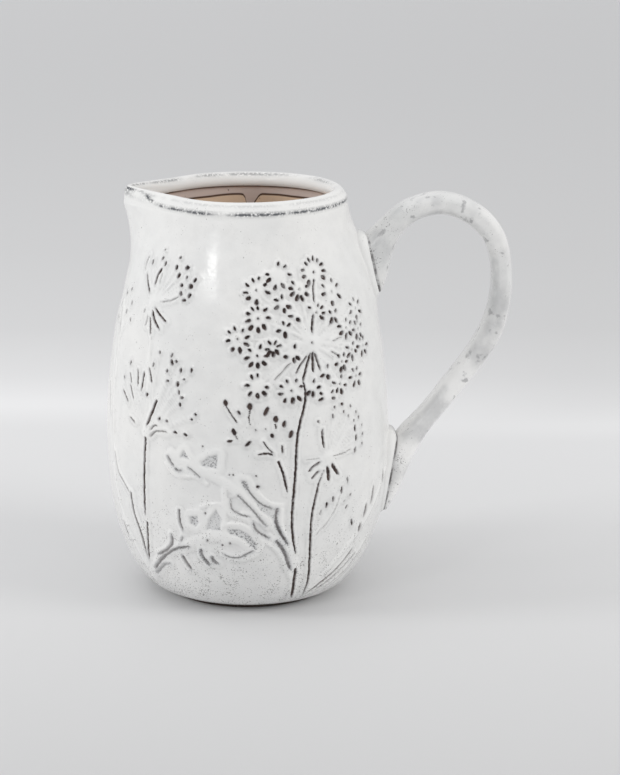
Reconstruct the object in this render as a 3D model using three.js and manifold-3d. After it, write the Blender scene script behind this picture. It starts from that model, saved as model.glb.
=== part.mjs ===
// A stoneware pitcher of about two litres: a pear-shaped wall on a flat base slab, a rolled rim drawn
// out into a pouring lip, and a strap handle luted to two clay pads.
// Millimetres, +Z up. The origin is where the body's axis meets the surface that the pitcher stands on.
// The handle is on the +X side, and the lip pours towards -X.
import * as THREE from "three";
import { mergeVertices } from "three/addons/utils/BufferGeometryUtils.js";
import Module from "manifold-3d";

const wasm = await Module();
wasm.setup();

// Overall sizes
const HEIGHT = 208;
const GAP = 0.3;
const WALL_THICKNESS = 5.5;
const SIDES = 64;
const WALL_STEPS = 12;

// Base slab
const FOOT_RADIUS = 50.6;
const FOOT_HEIGHT = 3.3;
const FOOT_EDGE = 0.8;
const FLOOR_TOP = 9;
const FLOOR_RADIUS = 46.2;

// Wall: how far its outside stands from the axis, from the foot up to the rim, as [radius, height]
const WALL_OUTSIDE = [
  [51.4, FOOT_HEIGHT],
  [57, 11],
  [66.5, 31],
  [72, 62],
  [72.3, 98],
  [68.3, 132],
  [62, 161],
  [55, 181],
  [49.8, 200],
];
const INSIDE_FOOT_TOP = 16;

// Rim: a coil of clay with a flat underside and a round top
const RIM_CENTRE = 45.9;
const RIM_HALF_WIDTH = 4.2;
const RIM_UNDERSIDE = 200.3;
const RIM_STEPS = 8;

// Pouring lip: the rim leaves its circle as two straight flanks that meet at a small round tip
const LIP_HALF_ANGLE = THREE.MathUtils.degToRad(42);
const LIP_TIP_ROUNDING = THREE.MathUtils.degToRad(4);
const LIP_REACH = 13.6;
const LIP_STARTS = 168;
const LIP_FLARE = 1.3;
const LIP_THINNING = 0.45;

// Handle: the outer and inner edge of the strap at places along it, seen from the side, as
// [outer distance from the axis, outer height, inner distance from the axis, inner height]
const HANDLE_WIDTH = 17;
const HANDLE_PLACES = [
  [64.8, 187.4, 69.8, 170.5],
  [71.5, 194, 75, 181.5],
  [80.5, 199.8, 83, 189.8],
  [93, 203.2, 93, 193.4],
  [105, 201.8, 102.5, 192.6],
  [117, 196.2, 110.5, 188.4],
  [126.5, 186.6, 117.7, 181.4],
  [131.7, 173.5, 121.8, 170.6],
  [133.2, 155.8, 122.9, 157],
  [130.6, 137.2, 120.3, 142.4],
  [123.2, 122, 114, 128.8],
  [110.7, 105.2, 101.8, 111.2],
  [98.5, 89.4, 90.4, 96],
  [89.5, 77, 82.8, 87],
  [83, 64, 79, 82.6],
];
const HANDLE_STEPS = 34;
const HANDLE_SECTION_SIDES = 16;
const HANDLE_SQUARENESS = 0.62;

// The line on which the handle meets each pad, top to bottom, as [distance from the axis, height]
const UPPER_JOINT = [
  [60.2, 183.6],
  [67.2, 153.4],
];
const LOWER_JOINT = [
  [76.8, 80.2],
  [73.2, 39],
];

// Pads and the slip that lutes the handle to them
const UPPER_PAD_HALF_WIDTH = 12;
const LOWER_PAD_HALF_WIDTH = 12;
const PAD_DEPTH = 16;
const PAD_ROUNDING = 2.4;
const SLIP_THICKNESS = 0.7;
const SLIP_HALF_WIDTH = 6.5;
const SLIP_INSET = 3;

const glaze = new THREE.MeshStandardMaterial({ color: 0xe6e5e1, roughness: 0.22, metalness: 0 });
const wornGlaze = new THREE.MeshStandardMaterial({ color: 0xdcdcd8, roughness: 0.3, metalness: 0 });
const bareClay = new THREE.MeshStandardMaterial({ color: 0x4b3a34, roughness: 0.8, metalness: 0 });
const slipClay = new THREE.MeshStandardMaterial({ color: 0x57504c, roughness: 0.6, metalness: 0 });

function namedMesh(name, geometry, material) {
  geometry.computeVertexNormals();
  const mesh = new THREE.Mesh(geometry, material);
  mesh.name = name;
  return mesh;
}

function smoothLine(points, steps) {
  const vectors = points.map(([across, up]) => new THREE.Vector2(across, up));
  return new THREE.SplineCurve(vectors).getPoints(steps);
}

// The lip's share of its full reach at an angle from the direction that it pours in.
function lipShare(angle) {
  const softened = Math.hypot(angle, LIP_TIP_ROUNDING);
  if (softened >= LIP_HALF_ANGLE) return 0;
  const flank = 1 / Math.cos(LIP_HALF_ANGLE - softened) - 1;
  const tip = 1 / Math.cos(LIP_HALF_ANGLE - LIP_TIP_ROUNDING) - 1;
  return flank / tip;
}

// The lip swells out of the wall from LIP_STARTS up to the rim.
function lipRise(height) {
  const rise = THREE.MathUtils.clamp((height - LIP_STARTS) / (HEIGHT - LIP_STARTS), 0, 1);
  return Math.pow(rise, LIP_FLARE);
}

// A ring around the axis from a closed section, which sectionAt gives for each angle from the lip.
function ringGeometry(sectionAt) {
  const positions = [];
  const indices = [];
  const count = sectionAt(Math.PI).length;
  for (let side = 0; side < SIDES; side++) {
    const turn = (side / SIDES) * 2 * Math.PI;
    const fromLip = Math.abs(turn - Math.PI);
    for (const point of sectionAt(fromLip)) {
      const radius = point.x + LIP_REACH * lipRise(point.y) * lipShare(fromLip);
      positions.push(radius * Math.cos(turn), radius * Math.sin(turn), point.y);
    }
    for (let step = 0; step < count; step++) {
      const here = side * count;
      const beside = ((side + 1) % SIDES) * count;
      const above = (step + 1) % count;
      indices.push(here + step, beside + step, beside + above);
      indices.push(here + step, beside + above, here + above);
    }
  }
  const geometry = new THREE.BufferGeometry();
  geometry.setAttribute("position", new THREE.Float32BufferAttribute(positions, 3));
  geometry.setIndex(indices);
  return geometry;
}

function wallGeometry() {
  const outside = smoothLine(WALL_OUTSIDE, 2 * WALL_STEPS);
  const inside = outside
    .filter((point) => point.y > INSIDE_FOOT_TOP)
    .map((point) => new THREE.Vector2(point.x - WALL_THICKNESS, point.y))
    .reverse();
  const aroundFloor = FLOOR_RADIUS + GAP;
  const foot = [
    new THREE.Vector2(aroundFloor, FLOOR_TOP + GAP),
    new THREE.Vector2(aroundFloor, FOOT_HEIGHT),
  ];
  const section = [...outside, ...inside, ...foot];
  return ringGeometry(() => section);
}

function rimGeometry() {
  return ringGeometry((fromLip) => {
    const halfWidth = RIM_HALF_WIDTH * (1 - LIP_THINNING * lipShare(fromLip));
    const roundCentre = HEIGHT - halfWidth;
    const section = [];
    for (let step = 0; step <= RIM_STEPS; step++) {
      const angle = (step / RIM_STEPS) * Math.PI;
      const across = RIM_CENTRE + halfWidth * Math.cos(angle);
      section.push(new THREE.Vector2(across, roundCentre + halfWidth * Math.sin(angle)));
    }
    section.push(new THREE.Vector2(RIM_CENTRE - 0.7 * halfWidth, RIM_UNDERSIDE));
    section.push(new THREE.Vector2(RIM_CENTRE + 0.7 * halfWidth, RIM_UNDERSIDE));
    return section;
  });
}

function baseGeometry() {
  const profile = [
    [0, 0],
    [FOOT_RADIUS - FOOT_EDGE, 0],
    [FOOT_RADIUS, FOOT_EDGE],
    [FOOT_RADIUS, FOOT_HEIGHT - GAP],
    [FLOOR_RADIUS, FOOT_HEIGHT - GAP],
    [FLOOR_RADIUS, FLOOR_TOP],
    [0, FLOOR_TOP],
  ].map(([across, up]) => new THREE.Vector2(across, up));
  return new THREE.LatheGeometry(profile, SIDES).rotateX(Math.PI / 2);
}

// A plate with rounded edges from an outline in the handle's plane, centred on that plane.
function plateGeometry(outline, width, rounding) {
  const geometry = new THREE.ExtrudeGeometry(new THREE.Shape(outline), {
    depth: width - 2 * rounding,
    bevelThickness: rounding,
    bevelSize: rounding,
    bevelOffset: -rounding,
    bevelSegments: 3,
    steps: 1,
  });
  geometry.translate(0, 0, rounding - width / 2);
  return geometry.rotateX(Math.PI / 2);
}

// The joint line moved away from the body by a distance, as two points, top then bottom.
function jointLine(joint, distance) {
  const [top, bottom] = joint.map(([across, up]) => new THREE.Vector2(across, up));
  const along = bottom.clone().sub(top).normalize();
  const away = new THREE.Vector2(-along.y, along.x).multiplyScalar(distance);
  return [top.add(away), bottom.add(away)];
}

// One section of the strap: an oval with flattened sides across the line from its inner to its outer edge.
function strapSection(outer, inner) {
  const middle = outer.clone().add(inner).multiplyScalar(0.5);
  const half = outer.clone().sub(inner).multiplyScalar(0.5);
  const flattened = (value) => Math.sign(value) * Math.pow(Math.abs(value), HANDLE_SQUARENESS);
  const points = [];
  for (let side = 0; side < HANDLE_SECTION_SIDES; side++) {
    const angle = (side / HANDLE_SECTION_SIDES) * 2 * Math.PI;
    const outward = flattened(Math.cos(angle));
    const sideways = (HANDLE_WIDTH / 2) * flattened(Math.sin(angle));
    points.push([middle.x + half.x * outward, sideways, middle.y + half.y * outward]);
  }
  return points;
}

function handleGeometry() {
  const distance = GAP + SLIP_THICKNESS / 2;
  const [upperTop, upperBottom] = jointLine(UPPER_JOINT, distance);
  const [lowerTop, lowerBottom] = jointLine(LOWER_JOINT, distance);
  const outerEdge = HANDLE_PLACES.map(([across, up]) => [across, up]);
  const innerEdge = HANDLE_PLACES.map(([, , across, up]) => [across, up]);
  const outer = smoothLine([upperTop.toArray(), ...outerEdge, lowerBottom.toArray()], HANDLE_STEPS);
  const inner = smoothLine([upperBottom.toArray(), ...innerEdge, lowerTop.toArray()], HANDLE_STEPS);
  const positions = [];
  const indices = [];
  const count = HANDLE_SECTION_SIDES;
  outer.forEach((point, step) => positions.push(...strapSection(point, inner[step]).flat()));
  for (let step = 0; step < HANDLE_STEPS; step++) {
    for (let side = 0; side < count; side++) {
      const here = step * count + side;
      const beside = step * count + ((side + 1) % count);
      indices.push(here, beside + count, beside);
      indices.push(here, here + count, beside + count);
    }
  }
  const end = HANDLE_STEPS * count;
  for (let side = 1; side < count - 1; side++) {
    indices.push(0, side, side + 1);
    indices.push(end, end + side + 1, end + side);
  }
  const geometry = new THREE.BufferGeometry();
  geometry.setAttribute("position", new THREE.Float32BufferAttribute(positions, 3));
  geometry.setIndex(indices);
  return geometry;
}

function solidOf(geometry) {
  const bare = geometry.clone();
  bare.deleteAttribute("normal");
  bare.deleteAttribute("uv");
  const merged = mergeVertices(bare, 1e-3);
  return new wasm.Manifold(
    new wasm.Mesh({
      numProp: 3,
      vertProperties: merged.getAttribute("position").array,
      triVerts: new Uint32Array(merged.index.array),
    }),
  );
}

function geometryOf(solid) {
  const made = solid.getMesh();
  const geometry = new THREE.BufferGeometry();
  geometry.setAttribute("position", new THREE.Float32BufferAttribute(made.vertProperties, 3));
  geometry.setIndex(new THREE.BufferAttribute(made.triVerts, 1));
  return geometry;
}

// Everything inside the wall's outer face, grown by the gap, which the pads are cut back to.
function bodyClearance() {
  const outside = smoothLine(WALL_OUTSIDE, 2 * WALL_STEPS);
  const first = outside[0];
  const last = outside[outside.length - 1];
  const profile = [
    new THREE.Vector2(0, first.y),
    ...outside.map((point) => new THREE.Vector2(point.x + GAP, point.y)),
    new THREE.Vector2(0, last.y),
  ];
  return solidOf(new THREE.LatheGeometry(profile, SIDES).rotateX(Math.PI / 2));
}

function padGeometry(joint, halfWidth) {
  const [top, bottom] = jointLine(joint, -GAP - SLIP_THICKNESS / 2);
  const outline = [
    top,
    new THREE.Vector2(top.x - PAD_DEPTH, top.y),
    new THREE.Vector2(bottom.x - PAD_DEPTH, bottom.y),
    bottom,
  ];
  const block = solidOf(plateGeometry(outline, 2 * halfWidth, PAD_ROUNDING));
  return geometryOf(block.subtract(bodyClearance()));
}

// The thin layer of slip in the joint, set back from the handle's edges.
function slipGeometry(joint) {
  const [nearTop, nearBottom] = jointLine(joint, -SLIP_THICKNESS / 2);
  const [farTop, farBottom] = jointLine(joint, SLIP_THICKNESS / 2);
  const along = farBottom.clone().sub(farTop).normalize().multiplyScalar(SLIP_INSET);
  const outline = new THREE.Shape([
    nearTop.add(along),
    nearBottom.sub(along),
    farBottom.sub(along),
    farTop.add(along),
  ]);
  const settings = { depth: 2 * SLIP_HALF_WIDTH, bevelEnabled: false };
  const geometry = new THREE.ExtrudeGeometry(outline, settings);
  return geometry.translate(0, 0, -SLIP_HALF_WIDTH).rotateX(Math.PI / 2);
}

const pitcher = new THREE.Group();
pitcher.add(namedMesh("base_slab", baseGeometry(), bareClay));
pitcher.add(namedMesh("body_wall", wallGeometry(), glaze));
pitcher.add(namedMesh("rim_roll", rimGeometry(), wornGlaze));
const upperPad = padGeometry(UPPER_JOINT, UPPER_PAD_HALF_WIDTH);
const lowerPad = padGeometry(LOWER_JOINT, LOWER_PAD_HALF_WIDTH);
pitcher.add(namedMesh("upper_handle_pad", upperPad, glaze));
pitcher.add(namedMesh("lower_handle_pad", lowerPad, glaze));
pitcher.add(namedMesh("upper_handle_slip", slipGeometry(UPPER_JOINT), slipClay));
pitcher.add(namedMesh("lower_handle_slip", slipGeometry(LOWER_JOINT), slipClay));
pitcher.add(namedMesh("handle_strap", handleGeometry(), wornGlaze));

export default pitcher;
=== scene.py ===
"""A white-glazed stoneware pitcher with meadow flowers raised on its wall, on a pale floor."""

import math

import bpy
import numpy as np
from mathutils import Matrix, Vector, noise


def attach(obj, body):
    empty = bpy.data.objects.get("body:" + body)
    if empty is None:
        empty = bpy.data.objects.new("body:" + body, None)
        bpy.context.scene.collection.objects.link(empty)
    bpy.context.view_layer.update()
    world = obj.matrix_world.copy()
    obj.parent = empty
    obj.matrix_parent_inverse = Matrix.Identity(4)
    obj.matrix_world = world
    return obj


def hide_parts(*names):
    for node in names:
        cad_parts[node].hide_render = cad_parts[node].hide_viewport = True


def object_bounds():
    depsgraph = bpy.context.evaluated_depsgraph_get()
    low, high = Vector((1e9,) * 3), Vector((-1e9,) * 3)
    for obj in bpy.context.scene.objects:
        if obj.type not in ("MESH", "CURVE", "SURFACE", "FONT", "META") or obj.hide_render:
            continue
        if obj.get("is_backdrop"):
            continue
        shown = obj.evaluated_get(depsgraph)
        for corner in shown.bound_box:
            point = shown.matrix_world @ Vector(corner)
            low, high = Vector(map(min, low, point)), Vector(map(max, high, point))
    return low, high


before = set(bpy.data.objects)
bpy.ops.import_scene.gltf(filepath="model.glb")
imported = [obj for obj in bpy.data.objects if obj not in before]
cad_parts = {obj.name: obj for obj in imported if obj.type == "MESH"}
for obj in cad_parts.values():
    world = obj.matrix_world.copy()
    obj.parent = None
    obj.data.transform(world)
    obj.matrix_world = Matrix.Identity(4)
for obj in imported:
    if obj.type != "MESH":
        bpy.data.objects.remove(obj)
cad_low, cad_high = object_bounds()
bpy.ops.object.select_all(action="DESELECT")

# ---------------------------------------------------------------------------------------------
# Camera, floor and light. A sheet of pale paper in a white room: a soft box stands on each side of
# the pitcher and one above, and a small lamp in front gives the glaze its one highlight.

EYE_DISTANCE = 1.1
EYE_ELEVATION = math.radians(14)
look_at = Vector((0, 0, 0.1055))

camera_data = bpy.data.cameras.new("camera")
camera_data.lens = 100.2
camera_data.shift_x = 0.0808
camera_data.shift_y = -0.0044
camera_data.clip_end = 50
camera = bpy.data.objects.new("camera", camera_data)
bpy.context.scene.collection.objects.link(camera)
towards_eye = Vector((0, -math.cos(EYE_ELEVATION), math.sin(EYE_ELEVATION)))
camera.location = look_at + EYE_DISTANCE * towards_eye
camera.rotation_euler = (math.pi / 2 - EYE_ELEVATION, 0, 0)
bpy.context.scene.camera = camera
bpy.context.scene.view_settings.view_transform = "Standard"


def soft_box(name, place, width, height, power, tint, shines=False):
    """A square lamp that faces the middle of the pitcher. Only one that shines is mirrored in glaze."""
    lamp_data = bpy.data.lights.new(name, "AREA")
    lamp_data.shape = "RECTANGLE"
    lamp_data.size = width
    lamp_data.size_y = height
    lamp_data.energy = power
    lamp_data.color = tint
    lamp = bpy.data.objects.new(name, lamp_data)
    bpy.context.scene.collection.objects.link(lamp)
    lamp.location = place
    lamp.visible_glossy = shines
    lamp.rotation_euler = (look_at - Vector(place)).to_track_quat("-Z", "Y").to_euler()


soft_box("front_soft_box", (-0.86, -1.17, 0.8), 0.26, 0.12, 1.5, (1, 1, 0.99), True)
soft_box("left_soft_box", (-1.7, -0.35, 0.75), 0.5, 0.5, 8.8, (1, 1, 1))
soft_box("right_soft_box", (1.6, -0.7, 0.95), 0.8, 0.8, 11.3, (1, 0.99, 0.97))
soft_box("overhead_soft_box", (-0.5, -0.1, 1.7), 1.0, 1.0, 3, (1, 1, 1))

world = bpy.data.worlds.new("bright_room")
bpy.context.scene.world = world
world.use_nodes = True
world.node_tree.nodes["Background"].inputs["Color"].default_value = (0.985, 0.99, 1, 1)
world.node_tree.nodes["Background"].inputs["Strength"].default_value = 0.69

bpy.ops.mesh.primitive_plane_add(size=30, location=(0, 0, 0))
floor = bpy.context.object
floor.name = "floor"
floor_paper = bpy.data.materials.new("floor_paper")
floor_paper.use_nodes = True


def calc(operation, first, second=0.0, clamp=False):
    """A Math step in the material that nodes and join are set to, on numbers or other steps' outputs."""
    step = nodes.new("ShaderNodeMath")
    step.operation = operation
    step.use_clamp = clamp
    for socket, value in zip(step.inputs, (first, second)):
        if isinstance(value, (int, float)):
            socket.default_value = value
        else:
            join(value, socket)
    return step.outputs[0]


def blend_colour(share, first, second):
    """From the first colour to the second as share goes from 0 to 1."""
    mixer = nodes.new("ShaderNodeMix")
    mixer.data_type = "RGBA"
    for socket, value in ((mixer.inputs[0], share), (mixer.inputs[6], first), (mixer.inputs[7], second)):
        if isinstance(value, tuple):
            socket.default_value = (*value, 1)
        elif isinstance(value, (int, float)):
            socket.default_value = value
        else:
            join(value, socket)
    return mixer.outputs[2]


def object_axes():
    """X, Y and Z of a place on the piece, in metres."""
    place = nodes.new("ShaderNodeTexCoord")
    axes = nodes.new("ShaderNodeSeparateXYZ")
    join(place.outputs["Object"], axes.inputs[0])
    return axes.outputs


# The paper's colour paints light and shade on the backdrop: its tone goes with how far back and
# how far to the right it lies from the camera's stand.
PAPER_LIGHT_AND_SHADE = [
    # depth, painted light and shade on the left, painted light and shade on the right
    (0.2, 0.58, 0.59), (0.29, 0.68, 0.68), (0.41, 0.79, 0.79), (0.42, 0.80, 0.84), (0.435, 0.89, 0.78),
    (0.455, 0.80, 0.72), (0.49, 0.73, 0.68), (0.55, 0.73, 0.70), (0.65, 0.78, 0.76), (0.8, 0.86, 0.83),
    (1.0, 0.90, 0.87),
]
nodes = floor_paper.node_tree.nodes
join = floor_paper.node_tree.links.new
paper = object_axes()
back = calc("MAXIMUM", paper["Y"], -0.6)
depth = calc("DIVIDE", calc("ADD", back, 0.62), calc("ADD", back, 1.9))
side_share = nodes.new("ShaderNodeMapRange")
side_share.inputs["From Min"].default_value = -0.096
side_share.inputs["From Max"].default_value = 0.154
join(calc("DIVIDE", paper["X"], calc("ADD", back, 1.07)), side_share.inputs["Value"])
painted_paper_sides = []
for side in (1, 2):
    paper_shade_ramp = nodes.new("ShaderNodeValToRGB")
    stops = paper_shade_ramp.color_ramp.elements
    for number, row in enumerate(PAPER_LIGHT_AND_SHADE):
        stop = stops[0] if number == 0 else stops[-1] if row[0] == 1 else stops.new(row[0])
        stop.position = row[0]
        stop.color = (row[side], row[side], row[side] * 1.005, 1)
    join(depth, paper_shade_ramp.inputs["Fac"])
    painted_paper_sides.append(paper_shade_ramp.outputs["Color"])
surface = nodes["Principled BSDF"]
join(blend_colour(side_share.outputs["Result"], *painted_paper_sides), surface.inputs["Base Color"])
surface.inputs["Roughness"].default_value = 0.7
floor.data.materials.append(floor_paper)
floor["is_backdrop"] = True

# ---------------------------------------------------------------------------------------------
# Foot. A low disc of bare, unglazed clay turned under the wall. It carries the pitcher and sits in
# from the wall's edge, so only a dark line shows under the white glaze.

MM = 0.001
FOOT_RADIUS = 41.5
FOOT_HEIGHT = 3.1
bpy.ops.mesh.primitive_cylinder_add(vertices=96, radius=FOOT_RADIUS * MM, depth=FOOT_HEIGHT * MM)
foot = bpy.context.object
foot.name = "foot"
bpy.ops.object.mode_set(mode="EDIT")
bpy.ops.mesh.select_all(action="SELECT")
bpy.ops.transform.translate(value=(0, 0, FOOT_HEIGHT / 2 * MM))
bpy.ops.mesh.select_all(action="DESELECT")
bpy.ops.object.mode_set(mode="OBJECT")
rounded = foot.modifiers.new("rounded", "BEVEL")
rounded.width = 0.6 * MM
rounded.segments = 3
bpy.ops.object.modifier_apply(modifier="rounded")
bpy.ops.object.shade_smooth_by_angle(angle=math.radians(50))

# Each finish on the pitcher is one surface whose colour is built up in coats: glaze, stain, specks and
# bare clay.


def ramp(value, low, high):
    """0 below low, 1 above high, and a soft step between them."""
    ranger = nodes.new("ShaderNodeMapRange")
    ranger.interpolation_type = "SMOOTHSTEP"
    ranger.inputs["From Min"].default_value = low
    ranger.inputs["From Max"].default_value = high
    join(value, ranger.inputs["Value"])
    return ranger.outputs["Result"]


def cloud(scale, detail=3.0):
    """Soft blotches that stay put on the piece; a larger scale makes smaller ones."""
    texture = nodes.new("ShaderNodeTexNoise")
    texture.inputs["Scale"].default_value = scale
    texture.inputs["Detail"].default_value = detail
    place = nodes.new("ShaderNodeTexCoord")
    join(place.outputs["Object"], texture.inputs["Vector"])
    return texture.outputs["Fac"]


# The shared specks: small dark grains that burn through a glaze, thicker where Amount is higher.
glaze_specks = bpy.data.node_groups.new("glaze_specks", "ShaderNodeTree")
glaze_specks.interface.new_socket("Amount", in_out="INPUT", socket_type="NodeSocketFloat")
glaze_specks.interface.new_socket("Size", in_out="INPUT", socket_type="NodeSocketFloat")
glaze_specks.interface.new_socket("Specks", in_out="OUTPUT", socket_type="NodeSocketFloat")
nodes = glaze_specks.nodes
join = glaze_specks.links.new
given = nodes.new("NodeGroupInput")
result = nodes.new("NodeGroupOutput")
grains = cloud(1, 2)
join(calc("DIVIDE", 1, given.outputs["Size"]), grains.node.inputs["Scale"])
grain_height = calc("ADD", calc("MULTIPLY", cloud(140, 2), 0.35), grains)
bare_level = calc("SUBTRACT", 1.0, calc("MULTIPLY", given.outputs["Amount"], 0.35))
grain_edge = calc("MULTIPLY", calc("SUBTRACT", grain_height, bare_level), 14, True)
join(grain_edge, result.inputs["Specks"])


def specks(amount, size):
    group = nodes.new("ShaderNodeGroup")
    group.node_tree = glaze_specks
    group.inputs["Size"].default_value = size
    if isinstance(amount, (int, float)):
        group.inputs["Amount"].default_value = amount
    else:
        join(amount, group.inputs["Amount"])
    return group.outputs["Specks"]


bare_clay = bpy.data.materials.new("bare_clay")
bare_clay.use_nodes = True
nodes = bare_clay.node_tree.nodes
join = bare_clay.node_tree.links.new
surface = nodes["Principled BSDF"]
grit = specks(0.55, 0.0009)
clay = blend_colour(ramp(cloud(90, 4), 0.3, 0.7), (0.035, 0.025, 0.021), (0.07, 0.05, 0.04))
clay = blend_colour(calc("MULTIPLY", grit, 0.6), clay, (0.22, 0.18, 0.15))
join(clay, surface.inputs["Base Color"])
surface.inputs["Roughness"].default_value = 0.85
foot.data.materials.append(bare_clay)
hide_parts("base_slab")
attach(foot, "root")

# ---------------------------------------------------------------------------------------------
# Handle. A strap of stoneware pulled by hand, bent over and pressed on while soft: wide where it is
# pressed to the upper pad, even over the hand, and drawn out to a flat tail at the lower pad.

HANDLE_PLACES = [
    # outer side x, z; inner side x, z; width
    (58, 182.5, 66, 151.5, 22), (61.5, 185.8, 70, 160.5, 21.5), (65.8, 189.6, 72, 172, 20.3),
    (71.8, 195.3, 76, 182, 19),
    (80.5, 201, 83.1, 189.8, 18), (93, 204.6, 93, 193.4, 17.5), (105.2, 203.2, 102.4, 192.6, 17.2),
    (117.6, 197.2, 110.5, 188.4, 17), (127.2, 187.2, 117.7, 181.4, 17), (132.2, 173.5, 121.8, 170.6, 17),
    (133, 155.8, 122.9, 157, 17), (130.6, 137.2, 120.3, 142.4, 17), (123.2, 122, 114, 128.8, 17.2),
    (110.7, 105.2, 101.8, 111.2, 17.6), (98.5, 89.4, 90.4, 96, 18.2), (89.5, 77, 82.6, 87.2, 19),
    (83.4, 64.5, 77.4, 81.5, 20), (79.4, 54, 72.5, 73, 20), (75.4, 45, 68.5, 63, 17.5),
    (70, 36.5, 64, 53, 14),
]


def spline_through(places):
    """The slopes of a natural cubic spline through (position, value) pairs, as a function."""
    x, y = np.array(places, float).T
    gap = np.diff(x)
    count = len(x)
    system = np.eye(count)
    pull = np.zeros(count)
    for i in range(1, count - 1):
        system[i, i - 1 : i + 2] = gap[i - 1], 2 * (gap[i - 1] + gap[i]), gap[i]
        pull[i] = 6 * ((y[i + 1] - y[i]) / gap[i] - (y[i] - y[i - 1]) / gap[i - 1])
    bend = np.linalg.solve(system, pull)

    def value_at(position):
        position = np.clip(position, x[0], x[-1])
        i = np.clip(np.searchsorted(x, position) - 1, 0, count - 2)
        left = x[i + 1] - position
        right = position - x[i]
        wide = gap[i]
        curved = (bend[i] * left**3 + bend[i + 1] * right**3) / (6 * wide)
        return (
            curved
            + (y[i] / wide - bend[i] * wide / 6) * left
            + (y[i + 1] / wide - bend[i + 1] * wide / 6) * right
        )

    return value_at


place_numbers = np.arange(len(HANDLE_PLACES), dtype=float)
smooth_places = [spline_through(list(zip(place_numbers, column))) for column in zip(*HANDLE_PLACES)]
steps = np.linspace(0, len(HANDLE_PLACES) - 1, 37)
outer_x, outer_z, inner_x, inner_z, widths = [column(steps) for column in smooth_places]
centres = [Vector((x, 0, z)) * MM for x, z in zip((outer_x + inner_x) / 2, (outer_z + inner_z) / 2)]
depths = np.hypot(outer_x - inner_x, outer_z - inner_z)
slants = np.unwrap(np.arctan2(outer_z - inner_z, outer_x - inner_x))

bpy.ops.mesh.primitive_plane_add(size=2, location=(0, 0, 0))
handle = bpy.context.object
handle.name = "handle"
bpy.ops.object.mode_set(mode="EDIT")
bpy.ops.mesh.select_all(action="SELECT")
bpy.ops.mesh.bevel(offset=0.74, segments=6, affect="VERTICES")
bpy.ops.transform.resize(value=(depths[0] / 2 * MM, widths[0] / 2 * MM, 1), center_override=(0, 0, 0))
bpy.ops.transform.rotate(value=slants[0], orient_axis="Y", center_override=(0, 0, 0))
bpy.ops.transform.translate(value=centres[0])
for i in range(1, len(steps)):
    step = {"value": centres[i] - centres[i - 1]}
    bpy.ops.mesh.extrude_region_move(TRANSFORM_OT_translate=step)
    bpy.ops.transform.rotate(value=-slants[i - 1], orient_axis="Y", center_override=centres[i])
    growth = (depths[i] / depths[i - 1], widths[i] / widths[i - 1], 1)
    bpy.ops.transform.resize(value=growth, center_override=centres[i])
    bpy.ops.transform.rotate(value=slants[i], orient_axis="Y", center_override=centres[i])
bpy.ops.mesh.select_all(action="SELECT")
bpy.ops.mesh.normals_make_consistent(inside=False)
bpy.ops.object.mode_set(mode="OBJECT")
soften = handle.modifiers.new("soften", "SUBSURF")
soften.levels = 2
soften.render_levels = 2
bpy.ops.object.modifier_apply(modifier="soften")
normals = [vertex.normal.copy() for vertex in handle.data.vertices]
for vertex, normal in zip(handle.data.vertices, normals):
    place = vertex.co / MM
    uneven = 0.3 * noise.noise(place * 0.06) + 0.12 * noise.noise(place * 0.21)
    vertex.co = vertex.co + normal * uneven * MM
bpy.ops.object.shade_smooth()


def sum_of(first, factor, second):
    """first * factor + second, where the factor is a number."""
    step = calc("MULTIPLY_ADD", first, factor)
    if isinstance(second, (int, float)):
        step.node.inputs[2].default_value = second
    else:
        join(second, step.node.inputs[2])
    return step


worn_glaze = bpy.data.materials.new("worn_glaze")
worn_glaze.use_nodes = True
nodes = worn_glaze.node_tree.nodes
join = worn_glaze.node_tree.links.new
surface = nodes["Principled BSDF"]
strap = object_axes()
strap_side = ramp(calc("ABSOLUTE", strap["Y"]), 0.0035, 0.008)
at_roots = calc("SUBTRACT", 1, ramp(strap["X"], 0.072, 0.096))
glaze_tone = blend_colour(ramp(cloud(45, 4), 0.35, 0.68), (0.71, 0.715, 0.71), (0.81, 0.805, 0.795))
# Painted light: the strap's glaze is made lighter towards its low end.
painted_light_below = calc("SUBTRACT", 1, ramp(strap["Z"], 0.09, 0.15))
glaze_tone = blend_colour(calc("MULTIPLY", painted_light_below, 0.9), glaze_tone, (0.95, 0.945, 0.935))
# Grey blotches, denser towards the strap's sides.
grey_blotches = calc("MULTIPLY", ramp(cloud(60, 5), 0.42, 0.72), sum_of(strap_side, 0.45, 0.12))
tone = blend_colour(grey_blotches, glaze_tone, (0.42, 0.425, 0.435))
scuffs = calc("MULTIPLY", ramp(cloud(190, 6), 0.6, 0.7), sum_of(strap_side, 0.3, 0.3))
tone = blend_colour(scuffs, tone, (0.24, 0.24, 0.25))
strap_dots = specks(sum_of(at_roots, 0.2, 0.3), 0.0008)
tone = blend_colour(calc("MULTIPLY", strap_dots, 0.8), tone, (0.13, 0.125, 0.125))
join(tone, surface.inputs["Base Color"])
join(sum_of(ramp(cloud(70, 4), 0.3, 0.7), 0.14, 0.2), surface.inputs["Roughness"])
surface.inputs["IOR"].default_value = 1.52
handle.data.materials.clear()
handle.data.materials.append(worn_glaze)
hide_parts("handle_strap")
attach(handle, "root")

# ---------------------------------------------------------------------------------------------
# Pads and slips. The strap is not stuck on the curved wall itself: a soft pad of clay is pressed on
# the wall first, scored and painted with slip, and the strap's end goes on that. The slip squeezes
# out round the strap's end and takes the dark stain; its dark colour also paints the shade in the
# joint between pad and strap.

stained_slip = bpy.data.materials.new("stained_slip")
stained_slip.use_nodes = True
nodes = stained_slip.node_tree.nodes
join = stained_slip.node_tree.links.new
surface = nodes["Principled BSDF"]
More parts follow.
